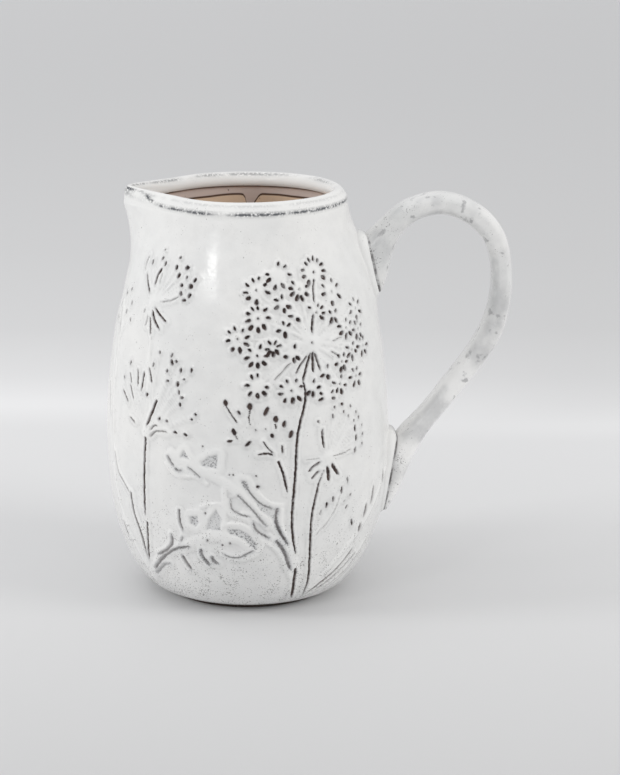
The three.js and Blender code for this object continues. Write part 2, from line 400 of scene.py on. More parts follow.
# The slip's dark grey is partly its stain and partly painted shade in the joint between pad and strap.
slip_stain_and_shade_tone = blend_colour(ramp(cloud(160, 4), 0.4, 0.6), (0.16, 0.155, 0.155), (0.55, 0.55, 0.55))
slip_dots = specks(0.7, 0.0008)
slip_stain_and_shade_tone = blend_colour(calc("MULTIPLY", slip_dots, 0.85), slip_stain_and_shade_tone, (0.09, 0.085, 0.085))
join(slip_stain_and_shade_tone, surface.inputs["Base Color"])
surface.inputs["Roughness"].default_value = 0.4

# The pads wear the body's glaze, which is mixed in the body's section.
white_glaze = bpy.data.materials.new("white_glaze")
white_glaze.use_nodes = True
JOINTS = [
    # name, middle x and z, lean back from upright in degrees, pad's height, slip's height and width
    ("upper", 63.2, 168.8, -13, 34, 29.5, 22.5), ("lower", 73.2, 60, 9, 45, 40, 21.5),
]
for name, middle_x, middle_z, lean, pad_height, slip_height, slip_width in JOINTS:
    lean = math.radians(lean)
    outward = Vector((math.cos(lean), 0, -math.sin(lean)))
    for part, thickness, height, width, rounding in (
        ("pad", 9.0, pad_height, 26, 3.9), ("slip", 1.6, slip_height, slip_width, 0.6),
    ):
        bpy.ops.mesh.primitive_plane_add(size=2, location=(0, 0, 0))
        piece = bpy.context.object
        piece.name = f"{name}_{part}"
        bpy.ops.object.mode_set(mode="EDIT")
        bpy.ops.mesh.select_all(action="SELECT")
        bpy.ops.mesh.bevel(offset=0.6, segments=6, affect="VERTICES")
        bpy.ops.transform.resize(value=(height / 2 * MM, width / 2 * MM, 1), center_override=(0, 0, 0))
        bpy.ops.mesh.extrude_region_move(TRANSFORM_OT_translate={"value": (0, 0, thickness * MM)})
        bpy.ops.mesh.select_all(action="SELECT")
        bpy.ops.mesh.normals_make_consistent(inside=False)
        proud = 0.6 if part == "slip" else 0
        bpy.ops.transform.translate(value=(0, 0, (proud - thickness) * MM))
        bpy.ops.transform.rotate(value=-math.pi / 2 - lean, orient_axis="Y", center_override=(0, 0, 0))
        bpy.ops.transform.translate(value=(middle_x * MM, 0, middle_z * MM))
        bpy.ops.object.mode_set(mode="OBJECT")
        rounded = piece.modifiers.new("rounded", "BEVEL")
        rounded.width = rounding * MM
        rounded.segments = 5
        rounded.limit_method = "ANGLE"
        rounded.angle_limit = math.radians(50)
        bpy.ops.object.modifier_apply(modifier="rounded")
        bpy.ops.object.shade_smooth()
        piece.data.materials.clear()
        piece.data.materials.append(white_glaze if part == "pad" else stained_slip)
        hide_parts(f"{name}_handle_{part}")
        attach(piece, "root")

# ---------------------------------------------------------------------------------------------
# Body. The wall, its rolled rim and the floor inside are one skin of glazed stoneware. The wall was
# pressed with the flowers in relief, the rim is a coil smoothed on top and drawn out into a lip, and
# the white glaze runs thin and dark where the pattern is pressed in.

TOP = cad_high.z / MM
WALL_THICKNESS = 5.5
WALL_CURVE = [
    (5.6, 51.3), (7.5, 53.2), (11, 56.1), (19, 60.9), (31, 65.7), (48, 69.6), (73, 71.4),
    (103, 71.1), (133, 67.5), (158, 62.5), (178, 56.0), (193, 51.5), (203, 49.7),
]
WALL_FROM = 6
WALL_TO = 199
wall_radius = spline_through(WALL_CURVE)

# The rings of the whole skin, from the middle of the underside up the outside, over the rim and down
# the inside, as (radius, height) in millimetres.
RING_SIDES = 128
wall_heights = np.linspace(WALL_FROM, WALL_TO, 56)
rim_rings = [
    (49.95, 200.4), (50.05, 201.6), (50.05, 202.6), (49.8, 203.5), (49.25, 204.5),
    (48.55, 205.5), (47.75, 206.5), (46.9, 207.3), (46, 207.8), (45.1, 208), (44.2, 207.7),
    (43.3, 207), (42.5, 206), (42, 204.9), (41.8, 203.7), (41.85, 202.5), (42.3, 201.4),
    (43.1, 200.6), (44, 200.1), (44.5, 199.4), (44.6, 198),
]
inside_heights = np.linspace(195, 17, 52)
rings = [(20, 1.2), (37, 1.25), (41, 1.8), (44, 2.5), (46, 3.1), (47.6, 3.6), (49.3, 4.4), (50.5, 5.2)]
rings += [(wall_radius(height), height) for height in wall_heights]
rings += rim_rings
rings += [(wall_radius(height) - WALL_THICKNESS, height) for height in inside_heights]
rings += [(52.2, 13.6), (49.6, 11.4), (46, 10), (40, 9.3), (28, 9), (12, 9)]

first_radius, first_height = rings[0]
bpy.ops.mesh.primitive_circle_add(
    vertices=RING_SIDES, radius=first_radius * MM, fill_type="TRIFAN", location=(0, 0, 0)
)
body = bpy.context.object
body.name = "body"
bpy.ops.object.mode_set(mode="EDIT")
bpy.ops.mesh.select_all(action="SELECT")
bpy.ops.transform.translate(value=(0, 0, first_height * MM))
bpy.ops.mesh.region_to_loop()
for (radius, height), (next_radius, next_height) in zip(rings, rings[1:]):
    rise = Vector((0, 0, (next_height - height) * MM))
    bpy.ops.mesh.extrude_edges_move(TRANSFORM_OT_translate={"value": rise})
    widen = next_radius / radius
    bpy.ops.transform.resize(value=(widen, widen, 1), center_override=(0, 0, next_height * MM))
bpy.ops.mesh.merge(type="CENTER")
bpy.ops.mesh.select_all(action="SELECT")
bpy.ops.mesh.normals_make_consistent(inside=False)
bpy.ops.object.mode_set(mode="OBJECT")

# The pattern on the wall is laid out by azimuth, in degrees from the middle of the front and
# positive towards the handle, and by height in millimetres. The back of the wall mirrors the front.
dice = np.random.default_rng(11)
pits = []
puffs = []
strands = []
pools = []


def pit(azimuth, height, length, width, lean=0.0, tone=1.0, edge=1.25, rise=0.85):
    """A pressed oval with a puffed edge. lean turns it clockwise from upright, in degrees."""
    lean = math.radians(lean)
    pits.append((azimuth, height, length / 2, width / 2, lean, tone))
    puffs.append((azimuth, height, length / 2 + edge, width / 2 + edge, lean, rise))


def along(places, step=0.6):
    """Places along a smooth line through a few (azimuth, height) points, about step mm apart."""
    points = np.array(places, float)
    scale = np.radians(1) * wall_radius(points[:, 1].mean())
    legs = np.hypot(np.diff(points[:, 0]) * scale, np.diff(points[:, 1]))
    reach = np.concatenate([[0], np.cumsum(legs)])
    count = max(4, int(reach[-1] / step))
    at = np.linspace(0, reach[-1], count)
    if len(points) == 2:
        return np.stack([np.interp(at, reach, points[:, i]) for i in (0, 1)], 1)
    return np.stack([spline_through(np.stack([reach, points[:, i]], 1))(at) for i in (0, 1)], 1)


def strand(places, width=0.8, tone=1.0, rise=0.55, side=1.5, ends=(0.5, 0.5), stain=0.0):
    """A pressed line with a soft ridge on each side. ends are its widths at the two ends."""
    line = along(places)
    share = np.linspace(0, 1, len(line))
    taper = np.minimum(ends[0] + 5 * share, ends[1] + 5 * (1 - share)).clip(0, 1)
    strands.append((line, width / 2 * taper, tone, rise, width / 2 + side, stain))


def ridge(places, width=2.0, rise=0.5):
    """A raised line with nothing pressed into it."""
    line = along(places)
    strands.append((line, np.zeros(len(line)), 0.0, rise, width / 2, 0.0))


def pool(corners, strength=1.0, rim=0.6):
    """A shallow pressed shape with straight sides between corners, stained most near its rim."""
    pools.append((np.array(corners, float), strength, rim))


def floret(azimuth, height, radius, hours, heart=1.0):
    """A ring of petals pressed in at hours of the clock, the lower ones larger, and a small heart."""
    scale = math.degrees(1 / float(wall_radius(height)))
    for hour in hours:
        turn = hour * math.pi / 6
        low = 0.5 - 0.5 * math.cos(turn)
        far = radius * dice.uniform(0.9, 1.08)
        length = (2.2 + 1.0 * low) * dice.uniform(0.85, 1.2)
        width = (1.25 + 0.85 * low**1.5) * dice.uniform(0.85, 1.15)
        lean = math.degrees(turn) + dice.uniform(-14, 14)
        pit(
            azimuth + far * math.sin(turn) * scale,
            height + far * math.cos(turn),
            length, width, lean, dice.uniform(0.8, 1),
        )
    puffs.append((azimuth, height, radius * 0.75, radius * 0.75, 0.0, 0.7))
    if heart > 0:
        pit(azimuth, height, 1.3, 1.2, 0, heart * dice.uniform(0.5, 0.9), 0.8, 0.7)


# The large umbel on the front: its hub, the florets at the ends of its rays, and its stalk.
LARGE_HUB = (27.5, 140.5)
LARGE_FLORETS = [
    (4, 166.5, 5.2, (11.4, 0.5, 2, 3.4, 6, 7.5, 8.6, 10), 0.6),
    (14.5, 173, 5.6, (0.2, 1.5, 3, 5.3, 6.6, 8.2, 9.2), 0),
    (33, 173, 6, (11.5, 0.3, 1.1, 2, 3, 4, 7.3, 8.5, 9.5, 10.7), 1.2),
    (24, 166, 4.6, (10.6, 9.3, 8.1, 6.7, 5.6, 4.2, 2.5), 0.3),
    (4.5, 153.5, 5.2, (11, 0, 1.4, 2.9, 4.8, 6, 7.3, 8.6, 9.9), 0.9),
    (-4, 144, 5.1, (11.4, 1, 2.6, 4, 5.6, 6.8, 8.6, 10.3), 0.4),
    (4, 136, 4.8, (0.6, 10.3, 8.6, 7.2, 5.9, 4.6, 3), 1),
    (4, 122, 5, (0, 10.9, 9, 7.4, 6, 4.7, 3.4), 0),
    (17.5, 119, 5.4, (11.2, 1, 2.4, 4.6, 5.8, 7.2, 8.5, 9.8), 1),
    (15.5, 160, 3.6, (10, 0, 8, 5.6, 4), 0),
    (15.5, 148, 2.9, (11.9, 1.7, 5.7, 8.6), 0),
    (10.5, 139.5, 2.9, (11, 0.8, 2.4, 4.5, 6, 7.4, 8.6), 0),
    (18.5, 136.5, 3.4, (0.8, 4.4, 5.6, 8.2), 0),
    (31, 154.5, 4, (10.3, 0.8, 2, 3.3, 4.5), 0.8),
    (39.5, 152, 2.7, (10.7, 1.5, 4.9, 7), 0),
    (41, 163, 5.2, (0.5, 2, 4, 6.2, 8.8, 10.2), 0.3),
    (46, 145, 4.2, (0.4, 2, 4.6, 6.2, 8, 9.6), 0.5),
    (54.5, 153, 4.4, (0, 1.8, 4, 6, 8.4, 10.2), 0.4),
    (54, 143, 4, (0, 2, 5, 6.8, 9, 11), 0.5),
    (56, 134.5, 4, (0.6, 3, 5, 6.6, 9, 11), 0.4),
    (48, 134, 3.6, (1, 3.6, 6, 7.6, 10), 0.4),
    (41.5, 129.5, 3.6, (1, 3.2, 5.2, 6.4, 8.6, 11), 0.6),
    (33.5, 126, 3, (0.4, 5.6, 8), 0),
    (39.5, 119, 3.8, (0.6, 3.5, 5.6, 7.2, 9.6), 0.8),
    (49, 121, 4, (0.6, 2.8, 5, 6.8, 9, 11), 0.5),
    (26.5, 119.5, 3.6, (0.5, 3.2, 6, 7.4), 0),
    (33, 114, 3.8, (1.8, 3.6, 8.6, 10), 0),
    (21, 154, 2.4, (5, 9), 0),
]
for azimuth, height, radius, hours, heart in LARGE_FLORETS:
    floret(azimuth, height, radius, hours, heart)
    hub_azimuth, hub_height = LARGE_HUB
    middle = (0.5 * (azimuth + hub_azimuth), 0.5 * (height + hub_height) + 1.0)
    ridge([LARGE_HUB, middle, (azimuth, height)], 1.5, 0.4)
puffs.append((*LARGE_HUB, 4.5, 4.5, 0.0, 0.9))
pit(27.3, 140.8, 1.2, 1.1, 0, 0.6, 0.6, 0.9)
strand([(26.5, 136), (24.5, 130), (22.5, 123)], 1.3, ends=(0.2, 0.5))
strand([(25.5, 135.5), (22, 131), (19.5, 126.5)], 0.9, 0.9, ends=(0.1, 0.4))
strand([(27.5, 136.5), (27.3, 131), (27.3, 126.5)], 1.5, ends=(0.3, 0.2))
strand([(28.3, 136), (29.5, 131.5), (30.5, 127)], 1.2, 0.9, ends=(0.2, 0.2))
strand([(28, 145.5), (28.6, 150), (29.5, 154)], 1.3, 0.9, ends=(0.4, 0.3))
strand([(32.5, 169.5), (31.3, 165), (30.8, 159)], 1.0, 0.8, ends=(1, 0.1))
strand([(36.5, 135.5), (39.5, 133)], 0.8, 0.5, ends=(0.2, 0.4))
strand([(37.5, 140), (42.5, 141)], 0.8, 0.4, ends=(0.2, 0.6))
strand([(36, 146.5), (39, 151)], 0.7, 0.35, ends=(0.2, 0.2))
strand([(17.5, 132), (14, 128), (10.5, 124)], 1.0, 0.35, ends=(0.5, 0.1))
strand([(22.5, 123), (23.3, 118), (20.5, 102), (18.8, 80), (18, 64.5), (18, 50), (20.3, 36)], 1.3)
strand([(21.5, 26.5), (22.2, 17), (23.5, 8.5)], 1.6, 0.9, ends=(1, 0.3))

# The spray of buds on the left of the stalk: drops, each pressed in at the end of a thin stalklet.
BUDS = [
    (-8.5, 113.5, 3.0, 1.9, -12), (-3.2, 109, 2.0, 1.1, -40), (1, 112, 3.4, 2.3, 4),
    (7.3, 109.5, 4.6, 1.8, 24), (11, 105.5, 3.2, 2.2, -4), (14.3, 103, 3.2, 1.8, 14),
    (17, 97.8, 3.8, 1.9, 22), (9.5, 97.5, 2.2, 1.7, -30), (-5.2, 99.6, 3.4, 1.9, -22),
    (-6.8, 95, 2.8, 1.2, 74), (0.2, 93.8, 3.6, 1.4, 48),
]
for azimuth, height, length, width, lean in BUDS:
    pit(azimuth, height, 1.12 * length, 1.15 * width, lean, 1.0, 1.0, 0.55)
strand([(-8, 111.5), (-6, 107.5), (-3.5, 103.5)], 0.8, 0.8, 0.4, ends=(1, 0.1))
strand([(1, 110), (0.6, 107), (1, 103.5)], 0.7, 0.8, 0.4, ends=(1, 0.1))
strand([(10.8, 103), (11, 100.5)], 0.9, 0.9, 0.4, ends=(1, 0.1))
strand([(-4.6, 98), (-3.6, 95.6)], 0.8, 0.9, 0.4, ends=(1, 0.1))
strand([(4.3, 88.5), (7, 88.9), (10, 88)], 1.1, 0.8, ends=(0.4, 0.3))
strand([(6.3, 94.5), (7.5, 92), (10, 88.8)], 0.9, 0.8, ends=(0.8, 0.2))
strand([(13.3, 92.5), (13.6, 88.5)], 1.0, 0.9, ends=(0.6, 0.3))
strand([(12, 84.5), (14, 77.5), (15.5, 68.5)], 1.3, 0.9, ends=(1, 0.1))
pit(4, 72.3, 1.9, 1.5, 70, 0.9, 1.0, 0.3)
pit(28.5, 102.5, 1.6, 1.4, 0, 0.6, 1.6, 0.5)
pit(3.2, 100.5, 1.1, 0.8, -30, 0.5, 0.6, 0.4)
pit(7, 101, 1.0, 0.8, 0, 0.4, 0.6, 0.4)

# The small umbel on the right of the stalk, seen from the side, with its sepals and its stem.
SIDE_HUB = (33, 84)
SIDE_SEEDS = [
    (36.3, 108.3, 1.6, 1.2), (40.3, 109, 2.0, 1.7), (41, 105, 1.6, 1.2), (45, 107, 1.7, 1.0),
    (43.5, 102.5, 2.0, 1.0), (48, 103.5, 1.6, 1.0), (46.6, 99.3, 1.7, 1.2), (49.5, 100.5, 1.8, 1.3),
    (47.2, 95.5, 3.6, 1.5), (51.5, 96, 1.6, 1.0), (47.8, 90.5, 3.4, 1.4), (52, 91.5, 1.8, 1.0),
    (47.2, 84.5, 2.6, 1.4), (51.5, 86.5, 1.5, 0.9), (35.3, 104, 2.2, 0.9),
]
for azimuth, height, length, width in SIDE_SEEDS:
    pit(azimuth, height, length, width, dice.uniform(-10, 20), dice.uniform(0.6, 0.95), 0.9, 0.5)
    ridge([SIDE_HUB, (0.6 * azimuth + 0.4 * 33, 0.6 * height + 0.4 * 84), (azimuth, height)], 1.0, 0.35)
puffs.append((*SIDE_HUB, 3.2, 3.6, 0.0, 0.75))
strand([(30.3, 98.5), (30.3, 94), (31, 89.3)], 1.2, 0.9, ends=(0.2, 0.3))
strand([(29.5, 82.5), (27, 81), (24.3, 78.3)], 1.2, 0.8, ends=(0.1, 0.4))
strand([(29, 78), (27.5, 76.5), (25.5, 74.3)], 1.2, 0.8, ends=(0.2, 0.4))
strand([(32.4, 79.5), (33.2, 75.5), (33.5, 71.5)], 2.0, 1.0, ends=(0.1, 0.1))
strand([(34.6, 80.5), (36.2, 77.5), (38.2, 74)], 1.9, 1.0, ends=(0.1, 0.2))
strand([(35.5, 84), (40, 84.3), (45, 85.5)], 0.7, 0.45, 0.3, ends=(0.8, 0.3))
strand([(29.5, 84), (23, 84)], 0.6, 0.3, 0.2, ends=(0.2, 0.2))
strand(
    [
        (30.8, 77.5), (29, 72), (27.8, 65.5), (26.5, 57), (26.3, 47), (27, 36), (28, 27), (29.2, 19),
        (29.5, 8.5),
    ],
    1.2, ends=(0.2, 0.3),
)

# A sprig of small buds and three leaflets between the side umbel and the handle, and a long blade.
SPRIG = [
    (40.2, 65.5, 4.2, 1.3, 6, 0.9), (43.2, 70, 3.4, 0.9, -4, 0.7), (36, 62, 2.8, 1.3, 2, 0.9),
    (33, 59.5, 3.0, 1.3, 10, 0.9), (45.2, 62, 1.5, 1.2, 60, 0.8), (43.3, 56, 2.6, 1.1, 40, 0.6),
    (47.8, 46.5, 4.4, 1.5, -24, 0.8), (30.3, 56, 3.6, 0.9, 10, 0.35), (42, 59.5, 1.6, 0.8, 60, 0.4),
]
for azimuth, height, length, width, lean, tone in SPRIG:
    pit(azimuth, height, length, width, lean, tone, 1.1, 0.45)
strand([(39.3, 63), (38, 58), (34, 50.5), (27.5, 43.5)], 0.7, 0.2, 0.45, ends=(0.6, 0.2))
for azimuth, height, length in ((56.5, 50.5, 8), (61.5, 57, 10.5), (72, 62, 10), (54, 42, 5)):
    pit(azimuth, height, length, 2.4, 10, 0.6, 1.6, 0.7)
ridge([(30, 9), (40, 24), (52, 38), (64, 52), (76, 66)], 4.0, 0.7)
strand([(31, 9.5), (38, 15.5), (45, 21.5), (52, 30.5)], 1.2, 0.75, 0.6, 2.2, (0.3, 0.8))
strand([(36, 10.5), (45, 17), (56, 27)], 1.0, 0.6, 0.6, 2.0, (0.3, 0.3))
strand([(43, 10.5), (54, 18.5), (64, 32)], 1.0, 0.5, 0.6, 2.0, (0.3, 0.3))

# The toothed leaf that climbs to the left from the foot of the stalk. Stain lies in the hollows
# between its teeth and in broken lines along its edges.
ridge([(21, 30), (16, 42), (9, 55), (0, 66), (-10, 75), (-22, 82), (-31, 87)], 5.0, 0.5)
ridge([(13.5, 60), (13.5, 52), (17, 42)], 2.6, 0.6)
ridge([(-9, 71), (-8.5, 62), (-5, 57), (1, 54.5), (4, 47), (10, 41), (15, 33), (19.5, 22)], 2.4, 0.6)
ridge([(-33.5, 81), (-28, 75.5), (-21, 76), (-16, 73)], 2.2, 0.5)
ridge([(0.5, 76.5), (5, 68), (9.5, 63.5), (13.5, 62.5)], 2.2, 0.55)
pool([(-25.2, 88.6), (-23.2, 84.6), (-26.8, 85.3)], 1, 0.6)
pool([(-11.4, 88), (-15, 86.7), (-18.2, 83.6), (-17.6, 81.8), (-12, 81)], 0.9, 0.6)
pool([(-2.6, 75.6), (-0.4, 75), (0.8, 71.2), (-1.2, 71)], 1, 0.5)
pool([(1, 69), (4.5, 64), (8, 61.2), (12.2, 60.6), (12.2, 57), (10.5, 52.5), (9.3, 56), (5, 60)], 0.75, 0.3)
pool([(-7.6, 67), (-6.4, 60.6), (-3.5, 58.6), (-1, 62), (-4, 67)], 0.35, 0.2)
pool([(3, 54), (3.4, 50), (6, 47.6), (8, 48), (5, 53)], 0.45, 0.2)
strand([(-32.3, 84.8), (-30.6, 81.6), (-29.5, 80.2)], 1.3, 0.6, 0.5, 1.8, (0.5, 0.3), 0.5)
strand([(-28.6, 79), (-27.2, 78), (-26.2, 78.6)], 1.4, 0.5, 0.5, 1.8, (0.6, 0.3), 0.7)
strand([(-23.3, 80.4), (-20.5, 78), (-18.2, 75.8)], 1.0, 0.6, 0.5, 1.8, (0.5, 0.3), 0.4)
strand([(-1.3, 74), (1, 69.3), (4.5, 64.3), (9.5, 60.8)], 1.0, 0.6, 0.4, 2.0, (1, 0.6), 0.6)
strand([(11.6, 60.5), (11.2, 55), (13, 48.5), (16.3, 42)], 1.5, 0.75, 0.5, 2.0, (1, 0.2), 0.9)
strand([(-3.4, 67.8), (-0.5, 63.8), (2, 60.5), (4.4, 56.5), (7.3, 52)], 1.2, 0.5, 0.4, 1.8, (0.2, 0.4), 0.6)
strand([(-6.3, 65.5), (-6, 60.6), (-3.6, 58.6), (1.2, 56.8)], 1.0, 0.6, 0.5, 1.8, (0.2, 0.3), 0.5)
strand([(2.3, 54.3), (3.2, 50.4), (6.3, 47.2), (8.6, 45.8)], 1.2, 0.65, 0.5, 1.8, (0.3, 0.3), 0.7)
strand(
    [(11.8, 43.6), (13.8, 40.3), (15.6, 36.6), (16.8, 33), (18.8, 27.5)],
    2.0, 0.6, 0.5, 2.0, (0.4, 0.6), 0.9,
)
for azimuth, height in ((-7, 78), (-5.4, 78.4), (3.4, 77.6), (-17.4, 91.5)):
    pit(azimuth, height, 1.2, 1.0, 0, 0.5, 0.8, 0.3)

# The broad lobed leaf low on the left.
ridge([(-54, 14), (-46, 24), (-36, 33), (-26, 40), (-16, 45), (-9, 46.5)], 5.5, 0.55)
ridge([(-9.5, 52), (-4, 53), (1, 50.5), (4.5, 46), (5.8, 41), (3.8, 36.8), (-1, 34), (-7, 33.4)], 2.6, 0.65)
ridge([(-9, 44), (-4, 45), (-0.5, 41.5)], 4.5, 0.5)
ridge([(-18.5, 61), (-9.5, 62), (-8.8, 55), (-9.2, 50.5)], 2.2, 0.55)
ridge([(-24.5, 58), (-18.2, 58), (-18.5, 50)], 2.0, 0.5)
pool(
    [(-8, 50.3), (-3.2, 50.2), (0.6, 47.6), (3.6, 42.2), (3.4, 39.2), (1.2, 41.4), (-1.2, 45.2), (-7, 48)],
    1, 0.5,
)
pool([(-12.2, 60), (-10.6, 56), (-10.8, 49.4), (-16.4, 49.4), (-15.4, 54.5)], 0.85, 0.6)
pool([(-23.4, 55), (-20.2, 55.8), (-19.8, 52.4), (-21, 50.4), (-23, 51.6)], 1, 0.6)
strand(
    [(2.2, 38.8), (-0.5, 36.8), (-4, 34.8), (-7.4, 35.2), (-9.6, 36.6)],
    0.9, 0.55, 0.5, 1.8, (0.6, 0.4), 0.4,
)
strand([(-27.8, 57.8), (-27.9, 53), (-26.6, 47.4)], 1.2, 0.75, 0.6, 1.8, (1, 0.3), 0.3)
strand([(-27, 43.8), (-28.4, 41)], 1.2, 0.45, 0.5, 1.6, (0.4, 0.3), 0.5)
strand([(-32.4, 44), (-32.6, 40), (-35, 36), (-41.5, 31)], 1.7, 0.6, 0.6, 1.8, (0.4, 0.2), 0.5)
strand([(-46.5, 22), (-38, 30.8), (-30, 37), (-24.5, 39)], 1.6, 0.6, 0.7, 2.0, (1, 0.4), 0.6)
strand([(-47.5, 18.5), (-42, 23.3), (-39.5, 25.5), (-36, 27)], 1.5, 0.4, 0.5, 1.8, (1, 0.3), 0.7)
strand([(-28.6, 33.4), (-27.3, 30), (-25.3, 26)], 2.0, 0.7, 0.5, 1.6, (0.3, 0.3), 0.5)
strand([(-19.3, 38), (-19.4, 35.4), (-18.4, 33), (-16.6, 30.4)], 1.7, 0.55, 0.5, 1.6, (0.6, 0.3), 0.9)
strand([(-14.9, 34.4), (-14, 32), (-12.6, 31)], 2.2, 0.55, 0.5, 1.6, (0.5, 0.4), 0.8)
strand([(-54.2, 13.5), (-55.2, 9)], 1.2, 0.5, 0.4, 1.6, (0.4, 0.4))
for azimuth, height in ((-16.8, 57.8), (-16.2, 43.6), (-10.2, 41.6), (-7, 42.6)):
    pit(azimuth, height, 1.5, 1.1, 0, 0.5, 0.9, 0.3)

# The umbel high on the left, seen from the side.
HIGH_HUB = (-46, 157)
HIGH_SEEDS = [
    (-36, 175, 2.2, 1.7, 10), (-30, 175.3, 2.6, 1.9, 60), (-34, 171.3, 2.8, 1.7, 25),
    (-29.3, 171, 1.2, 1.0, 0), (-35, 179.5, 1.8, 1.0, 40), (-25, 170, 2.4, 1.3, 25),
    (-26.7, 167, 2.6, 2.4, 30), (-31.5, 167, 2.0, 1.7, 60), (-31.3, 163.3, 2.2, 1.6, -15),
    (-26.7, 162.8, 2.4, 1.6, 25), (-29.2, 160.3, 1.2, 2.4, 0), (-46, 178, 1.9, 1.2, 30),
    (-46, 182, 1.0, 0.8, 0), (-43.5, 175.8, 2.8, 1.3, 15), (-52.7, 175.3, 2.8, 1.2, 10),
]
for azimuth, height, length, width, lean in HIGH_SEEDS:
    pit(azimuth, height, length, width, lean, dice.uniform(0.75, 1), 1.2, 0.65)
    ridge([HIGH_HUB, (azimuth, height)], 1.1, 0.35)
puffs.append((*HIGH_HUB, 3.4, 3.4, 0.0, 0.75))
strand([(-55, 170), (-53, 166), (-49.5, 161)], 1.1, 0.95, ends=(0.2, 0.2))
strand([(-45, 173.5), (-47, 169.5), (-47.3, 165.3)], 1.3, 0.95, ends=(0.3, 0.2))
strand([(-57, 178), (-58, 174.5), (-57.5, 171)], 0.9, 0.5, ends=(0.2, 0.5))
strand([(-44, 171), (-44.5, 166)], 0.7, 0.35, ends=(0.2, 0.2))
strand([(-44.2, 155), (-41, 152), (-37, 149.3)], 1.2, 1.0, ends=(0.2, 0.4))
strand([(-45.6, 153.2), (-44, 149.5), (-40, 145.3)], 1.4, 1.0, ends=(0.4, 0.2))
strand([(-46.5, 150.5), (-45, 142.3)], 1.2, 0.8, ends=(0.2, 0.6))
strand([(-48, 151), (-49, 145.3)], 1.0, 0.45, ends=(0.3, 0.2))
strand([(-42, 158), (-34, 160.5), (-32, 162)], 0.8, 0.3, ends=(0.3, 0.3))
strand([(-50.5, 153.5), (-51.5, 151)], 0.9, 0.5, ends=(0.4, 0.3))
ridge([(-46, 152), (-45, 140), (-44, 125), (-43.5, 110)], 2.0, 0.4)

# The umbel at half height on the left, on the tallest stem of that side.
LEFT_HUB = (-43, 94)
LEFT_SEEDS = [
    (-59.5, 118, 1.6, 1.0, 0), (-56, 126, 2.6, 1.0, 10), (-32.3, 134, 2.6, 1.0, 20),
    (-32, 130.5, 3.2, 1.7, -15), (-30, 131.5, 1.5, 1.2, 0), (-34, 126.3, 2.0, 1.1, 15),
    (-33.5, 121.5, 1.4, 1.7, 0), (-27.6, 127.5, 2.6, 1.3, 15), (-23, 128, 2.6, 1.2, 10),
    (-26, 123.3, 1.3, 1.0, 45), (-28.7, 120.6, 2.8, 1.8, 10), (-28, 116.8, 2.4, 1.0, -10),
    (-26.5, 114.3, 1.6, 1.8, 0), (-27.3, 111, 2.2, 1.3, 0), (-41.5, 128, 2.4, 1.0, 15),
    (-36.5, 102.5, 1.8, 1.2, 40), (-33, 102, 1.3, 1.6, 0), (-29, 97, 1.4, 2.4, 10),
    (-24.5, 96.5, 1.3, 2.4, 20), (-22, 104.3, 1.4, 1.2, 0), (-20.5, 107, 1.1, 1.4, 0),
    (-38.5, 134.5, 1.4, 1.0, 0), (-43.5, 113, 2.2, 1.4, 20),
]
for azimuth, height, length, width, lean in LEFT_SEEDS:
    pit(azimuth, height, length, width, lean, dice.uniform(0.7, 1), 1.1, 0.5)
    ridge([LEFT_HUB, (0.55 * azimuth - 0.45 * 43, 0.55 * height + 0.45 * 94), (azimuth, height)], 1.1, 0.32)
puffs.append((*LEFT_HUB, 3.4, 3.4, 0.0, 0.75))
LEFT_RAYS = [
    ((-50.5, 124), (-49.5, 116)), ((-46.3, 123.5), (-47, 114.5)), ((-43.5, 126), (-41.5, 119)),
    ((-59.5, 111.5), (-55, 106.5)), ((-54.5, 115.5), (-51.5, 108.5)), ((-55.5, 121), (-54, 116.5)),
]
for outer_end, inner_end in LEFT_RAYS:
    strand([outer_end, inner_end], 1.2, 0.8, 0.45, 1.3, (0.4, 0.2))
strand([(-38.3, 111), (-40.3, 105), (-43, 97.5)], 1.5, 0.95, ends=(0.9, 0.2))
strand([(-41, 95.8), (-39, 98.5), (-37, 99)], 1.0, 0.45, ends=(0.2, 0.2))
strand([(-40.8, 93), (-38.5, 95.5), (-32, 96.3)], 1.1, 0.4, ends=(0.8, 0.2))
strand([(-53, 99.5), (-50, 97.8)], 1.2, 0.7, ends=(0.2, 0.4))
strand([(-43.3, 91.5), (-44.5, 72.5), (-45.5, 51)], 1.35, ends=(1, 0.3))
strand([(-45, 47.3), (-46.5, 37), (-49.5, 25)], 1.3, 0.85, ends=(1, 0.1))

# Blades that rise past the left edge from the same root, and a pair of stalks beyond them.
strand([(-66.5, 77.5), (-64, 69), (-58.7, 64), (-53.8, 59.3)], 1.3, 0.6, 0.6, 2.0, (0.6, 0.2))
strand([(-53.6, 60.5), (-53, 51), (-50.5, 41.5), (-50, 27)], 1.6, 0.75, 0.6, 2.0, (0.8, 0.2))
strand([(-64.5, 42), (-62.3, 35)], 1.8, 0.7, 0.5, 1.8, (0.3, 0.4))
ridge([(-70, 70), (-66, 55), (-60, 38), (-54, 20)], 3.0, 0.6)
ridge([(-54.5, 13), (-52.5, 24), (-50.5, 40)], 3.0, 0.5)
strand([(-75, 112), (-73.5, 104), (-72.5, 98)], 1.0, 0.7, ends=(0.2, 0.3))
strand([(-73, 150), (-71, 143), (-70, 137)], 0.9, 0.6, ends=(0.3, 0.3))
ridge([(-74, 150), (-70, 125), (-69, 100), (-68, 76)], 2.4, 0.45)
FAR_SEEDS = [(-66, 160), (-71, 157), (-62.5, 154), (-75, 151), (-66.5, 149), (-61, 146), (-77, 144)]
for azimuth, height in FAR_SEEDS:
    pit(azimuth, height, 2.2, 1.3, dice.uniform(-20, 30), 0.85, 1.2, 0.55)
    ridge([(-70, 137), (azimuth, height)], 1.1, 0.35)


